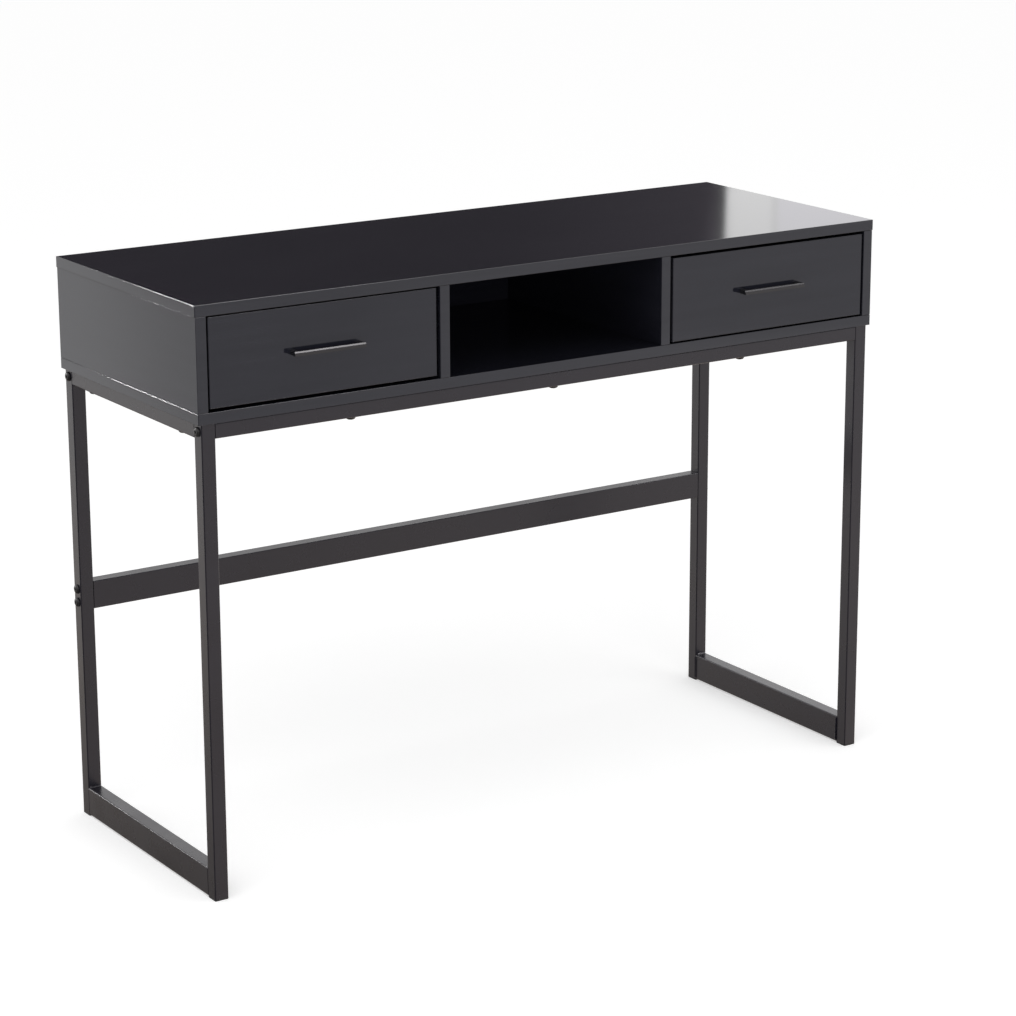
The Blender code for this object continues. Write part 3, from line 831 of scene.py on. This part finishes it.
def build_pull(bay, body):
    """A bar on two posts with a broad bevel along the top of its front, and the screws that hold it."""
    node = f"{bay}_drawer_pull"
    low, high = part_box(node)
    centre_x = (low.x + high.x) / 2
    bar_back = low.y + PULL_BAR_DEPTH
    post_in = PULL_CENTRES / 2 - PULL_POST / 2
    post_out = PULL_CENTRES / 2 + PULL_POST / 2
    half = (high.x - low.x) / 2
    right = [
        (post_in, bar_back),
        (post_in, high.y),
        (post_out, high.y),
        (post_out, bar_back),
        (half, bar_back),
        (half, low.y),
    ]
    outline = right + [(-x, y) for x, y in reversed(right)]
    rings = [[Vector((centre_x + x, y, z)) for x, y in outline] for z in (low.z, high.z)]
    bm = lofted_bmesh(rings)
    weights = bm.edges.layers.float.new("bevel_weight_edge")
    for edge in bm.edges:
        at_front = all(abs(vert.co.y - low.y) < SAME for vert in edge.verts)
        at_top = all(abs(vert.co.z - high.z) < SAME for vert in edge.verts)
        edge[weights] = 1.0 if at_front and at_top else 0.0
    piece = new_piece(f"{node}_bar", bm, pull_coat, body, [node])
    bevel = piece.modifiers.new("front_bevel", "BEVEL")
    bevel.width = PULL_BEVEL
    bevel.segments = 1
    bevel.limit_method = "WEIGHT"
    soften(piece, PULL_ROUND, 3)
    _, front_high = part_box(f"{bay}_drawer_front")
    middle_z = (low.z + high.z) / 2
    radius, grip = PULL_SCREW_SHANK
    shank = (radius, front_high.y - high.y + grip)
    for side, sign in SIDES:
        head_end = Vector((centre_x + sign * PULL_CENTRES / 2, front_high.y, middle_z))
        name = f"{node}_screw_{side}"
        direction = (0, -1, 0)
        sizes = (PULL_SCREW_HEAD, shank, PULL_SCREW_SOCKET)
        socket_screw(name, head_end, direction, *sizes, body=body, material=ball_steel)


def dress_cad_nodes():
    """Materials of the CAD nodes that stay as they are."""
    finishes = {
        "black_board": box_board,
        "black_steel": steel,
        "black_plastic": plastic,
        "black_bolt": bolt_black,
        "zinc_plate": zinc,
    }
    for sub_part in frame["record"]["subparts"]:
        node = frame["nodes"][sub_part["node"]]
        node.data.materials.clear()
        node.data.materials.append(finishes[sub_part["material_slot"]])


# ---------------------------------------------------------------- stage


def build_floor():
    """A plain pale floor."""
    bm = bmesh.new()
    bmesh.ops.create_grid(bm, x_segments=1, y_segments=1, size=FLOOR_SIZE)
    mesh = bpy.data.meshes.new("studio_floor")
    bm.to_mesh(mesh)
    bm.free()
    material, nodes, shader, _ = new_material("pale_floor")
    shader.inputs["Base Color"].default_value = (0.80, 0.80, 0.80, 1)
    shader.inputs["Roughness"].default_value = 0.9
    shader.inputs["Specular IOR Level"].default_value = 0.0
    shader.inputs["Emission Color"].default_value = (1, 1, 1, 1)
    shader.inputs["Emission Strength"].default_value = FLOOR_GLOW
    mesh.materials.append(material)
    floor = bpy.data.objects.new("studio_floor", mesh)
    bpy.context.scene.collection.objects.link(floor)
    floor.visible_glossy = False  # gloss sees the floor that is painted into the world instead


def build_world():
    """White to the camera and soft to matt surfaces; gloss sees a wall, ceiling, window, lamp and floor."""
    world = bpy.data.worlds.new("studio")
    world.use_nodes = True
    bpy.context.scene.world = world
    nodes = Nodes(world.node_tree)
    background = world.node_tree.nodes["Background"]
    direction = nodes.add("ShaderNodeTexCoord").outputs["Generated"]
    split = nodes.add("ShaderNodeSeparateXYZ")
    nodes.link(direction, split.inputs[0])
    x, y, z = split.outputs
    azimuth = nodes.math("MULTIPLY", nodes.math("ARCTAN2", x, y), 180 / math.pi)
    elevation = nodes.math("MULTIPLY", nodes.math("ARCSINE", z), 180 / math.pi)

    def step(value, start, end):
        node = nodes.add("ShaderNodeMapRange", interpolation_type="SMOOTHSTEP")
        node.inputs["From Min"].default_value = start
        node.inputs["From Max"].default_value = end
        nodes.link(value, node.inputs["Value"])
        return node.outputs["Result"]

    def between(value, start, end):
        return product(nodes.math("GREATER_THAN", value, start), nodes.math("LESS_THAN", value, end))

    def soft_between(value, start, end, blur):
        fades = inverse(step(value, end - blur, end + blur))
        return product(step(value, start - blur, start + blur), fades)

    def product(first, second):
        return nodes.math("MULTIPLY", first, second)

    def total(first, second):
        return nodes.math("ADD", first, second)

    def inverse(value):
        return nodes.math("SUBTRACT", 1.0, value)

    ceiling = product(step(elevation, CEILING[0], CEILING[1]), CEILING[2])
    ceiling = total(ceiling, product(step(elevation, CEILING_GAIN[0], CEILING_GAIN[1]), CEILING_GAIN[2]))
    lean, level = WINDOW_LEAN
    higher = nodes.math("SUBTRACT", elevation, level)
    leaning = total(azimuth, product(higher, lean))
    left, softness, brightness = WINDOW
    window = product(step(leaning, left - softness, left + softness), brightness)
    leaning = total(azimuth, product(higher, CURTAIN_LEAN))
    for start, end, brightness in CURTAINS:
        window = total(window, product(step(leaning, start, end), brightness))
    start, end, share = WINDOW_BAR
    bar = total(product(between(azimuth, start, end), share - 1.0), 1.0)
    above = nodes.math("GREATER_THAN", elevation, 0.0)
    low_down = product(inverse(step(elevation, CEILING[0], CEILING[1])), above)
    low_down = product(low_down, between(azimuth, 0.0, WINDOW_LIMIT))
    window = product(product(window, bar), low_down)
    lamp = product(step(x, LAMP[0], LAMP[1]), inverse(step(x, LAMP[2], LAMP[3])))
    lamp = product(product(lamp, between(y, *LAMP_DEPTH)), nodes.math("GREATER_THAN", z, LAMP_LEVEL))
    lamp = product(lamp, LAMP_BRIGHTNESS)
    behind = FLOOR_NEAR[1]
    for (low, dim), (high, bright) in ((FLOOR_NEAR, FLOOR_MIDDLE), (FLOOR_MIDDLE, FLOOR_FAR)):
        behind = total(product(step(elevation, low, high), bright - dim), behind)
    aside = FLOOR_ASIDE[0]
    for start, end, change in FLOOR_ASIDE[1:]:
        aside = total(product(step(azimuth, start, end), change), aside)
    start, end, change = FLOOR_FRONT[1]
    front = total(product(step(azimuth, start, end), change), FLOOR_FRONT[0])
    darkening = FLOOR_LEFT / FLOOR_FRONT[0] - 1.0
    front = product(front, total(product(step(azimuth, *FRONT_FADE), darkening), 1.0))
    behind = product(product(behind, aside), between(azimuth, LEFT_LIMIT, 0.0))
    front = product(nodes.math("GREATER_THAN", azimuth, 0.0), front)
    left_side = product(nodes.math("LESS_THAN", azimuth, LEFT_LIMIT), FLOOR_LEFT)
    ground = total(total(behind, front), left_side)
    for levels, sweep, change in FLOOR_PATCHES:
        patch = product(soft_between(elevation, *levels), soft_between(azimuth, *sweep))
        ground = total(ground, product(patch, change))
    ground = product(ground, inverse(above))
    room = total(product(above, DARK_BAND), ground)
    glossy = total(total(total(ceiling, window), lamp), room)
    path = nodes.add("ShaderNodeLightPath")
    camera = product(path.outputs["Is Camera Ray"], BACKDROP)
    gloss = product(path.outputs["Is Glossy Ray"], glossy)
    other = inverse(path.outputs["Is Camera Ray"])
    other = nodes.math("SUBTRACT", other, path.outputs["Is Glossy Ray"], clamp=True)
    nodes.link(total(total(camera, gloss), product(other, FILL)), background.inputs["Strength"])
    beyond_bar = product(nodes.math("GREATER_THAN", azimuth, WINDOW_BAR[1]), low_down)
    under_ceiling = nodes.math("LESS_THAN", elevation, CEILING[0])
    in_band = product(inverse(step(azimuth, *BAND_TINT_END)), under_ceiling)
    colour = nodes.mix_colours(step(elevation, *FLOOR_TINT_LEVELS), FLOOR_TINT, (1.0, 1.0, 1.0))
    colour = nodes.mix_colours(product(in_band, above), colour, BAND_TINT)
    colour = nodes.mix_colours(beyond_bar, colour, SKY)
    colour = nodes.mix_colours(path.outputs["Is Glossy Ray"], (1.0, 1.0, 1.0), colour)
    nodes.link(colour, background.inputs["Color"])


def area_light(name, place, target, size, power):
    """A soft light that neither the camera nor gloss sees."""
    light = bpy.data.lights.new(name, "AREA")
    light.shape = "RECTANGLE"
    light.size, light.size_y = size
    light.energy = power
    lamp = bpy.data.objects.new(name, light)
    lamp.location = place
    lamp.rotation_euler = (Vector(target) - Vector(place)).to_track_quat("-Z", "Y").to_euler()
    lamp.visible_camera = False
    lamp.visible_glossy = False
    bpy.context.scene.collection.objects.link(lamp)
    return lamp


def build_lights():
    for light in LIGHTS:
        area_light(*light)


def build_rim_lamp():
    """A lamp that only gloss sees. It draws the thin light lines along the left edges of the boards."""
    place = Vector(RIM_TARGET) + RIM_DISTANCE * Vector(RIM_DIRECTION)
    rim = area_light("rim_lamp", place, RIM_TARGET, RIM_SIZE, RIM_POWER)
    lean = Matrix.Rotation(math.radians(RIM_LEAN), 3, "Z")
    rim.rotation_euler = (rim.rotation_euler.to_matrix() @ lean).to_euler()
    rim.visible_glossy = True
    rim.visible_diffuse = False


def build_camera():
    """The camera at the photo's place. Azimuth and elevation say where it stands, seen from the desk."""
    azimuth = math.radians(CAMERA_AZIMUTH)
    elevation = math.radians(CAMERA_ELEVATION)
    back = Vector(
        (
            math.sin(azimuth) * math.cos(elevation),
            -math.cos(azimuth) * math.cos(elevation),
            math.sin(elevation),
        )
    )
    right = Vector((0, 0, 1)).cross(back).normalized()
    up = back.cross(right)
    turn = Matrix((right, up, back)).transposed() @ Matrix.Rotation(math.radians(CAMERA_ROLL), 3, "Z")
    camera = bpy.data.cameras.new("photo_camera")
    camera.sensor_width = CAMERA_SENSOR
    camera.lens = CAMERA_LENS
    camera.shift_x, camera.shift_y = CAMERA_SHIFT
    camera.clip_end = 200
    viewer = bpy.data.objects.new("photo_camera", camera)
    viewer.matrix_world = Matrix.Translation(CAMERA_PLACE) @ turn.to_4x4()
    bpy.context.scene.collection.objects.link(viewer)
    bpy.context.scene.camera = viewer


dress_cad_nodes()
build_case()
build_frame()
build_welds()
build_foot_caps()
build_fasteners()
for bay, _ in SIDES:
    build_drawer(bay)
build_floor()
build_world()
build_lights()
build_rim_lamp()
build_camera()

settings = bpy.context.scene.view_settings
settings.view_transform = "Standard"
settings.look = "None"
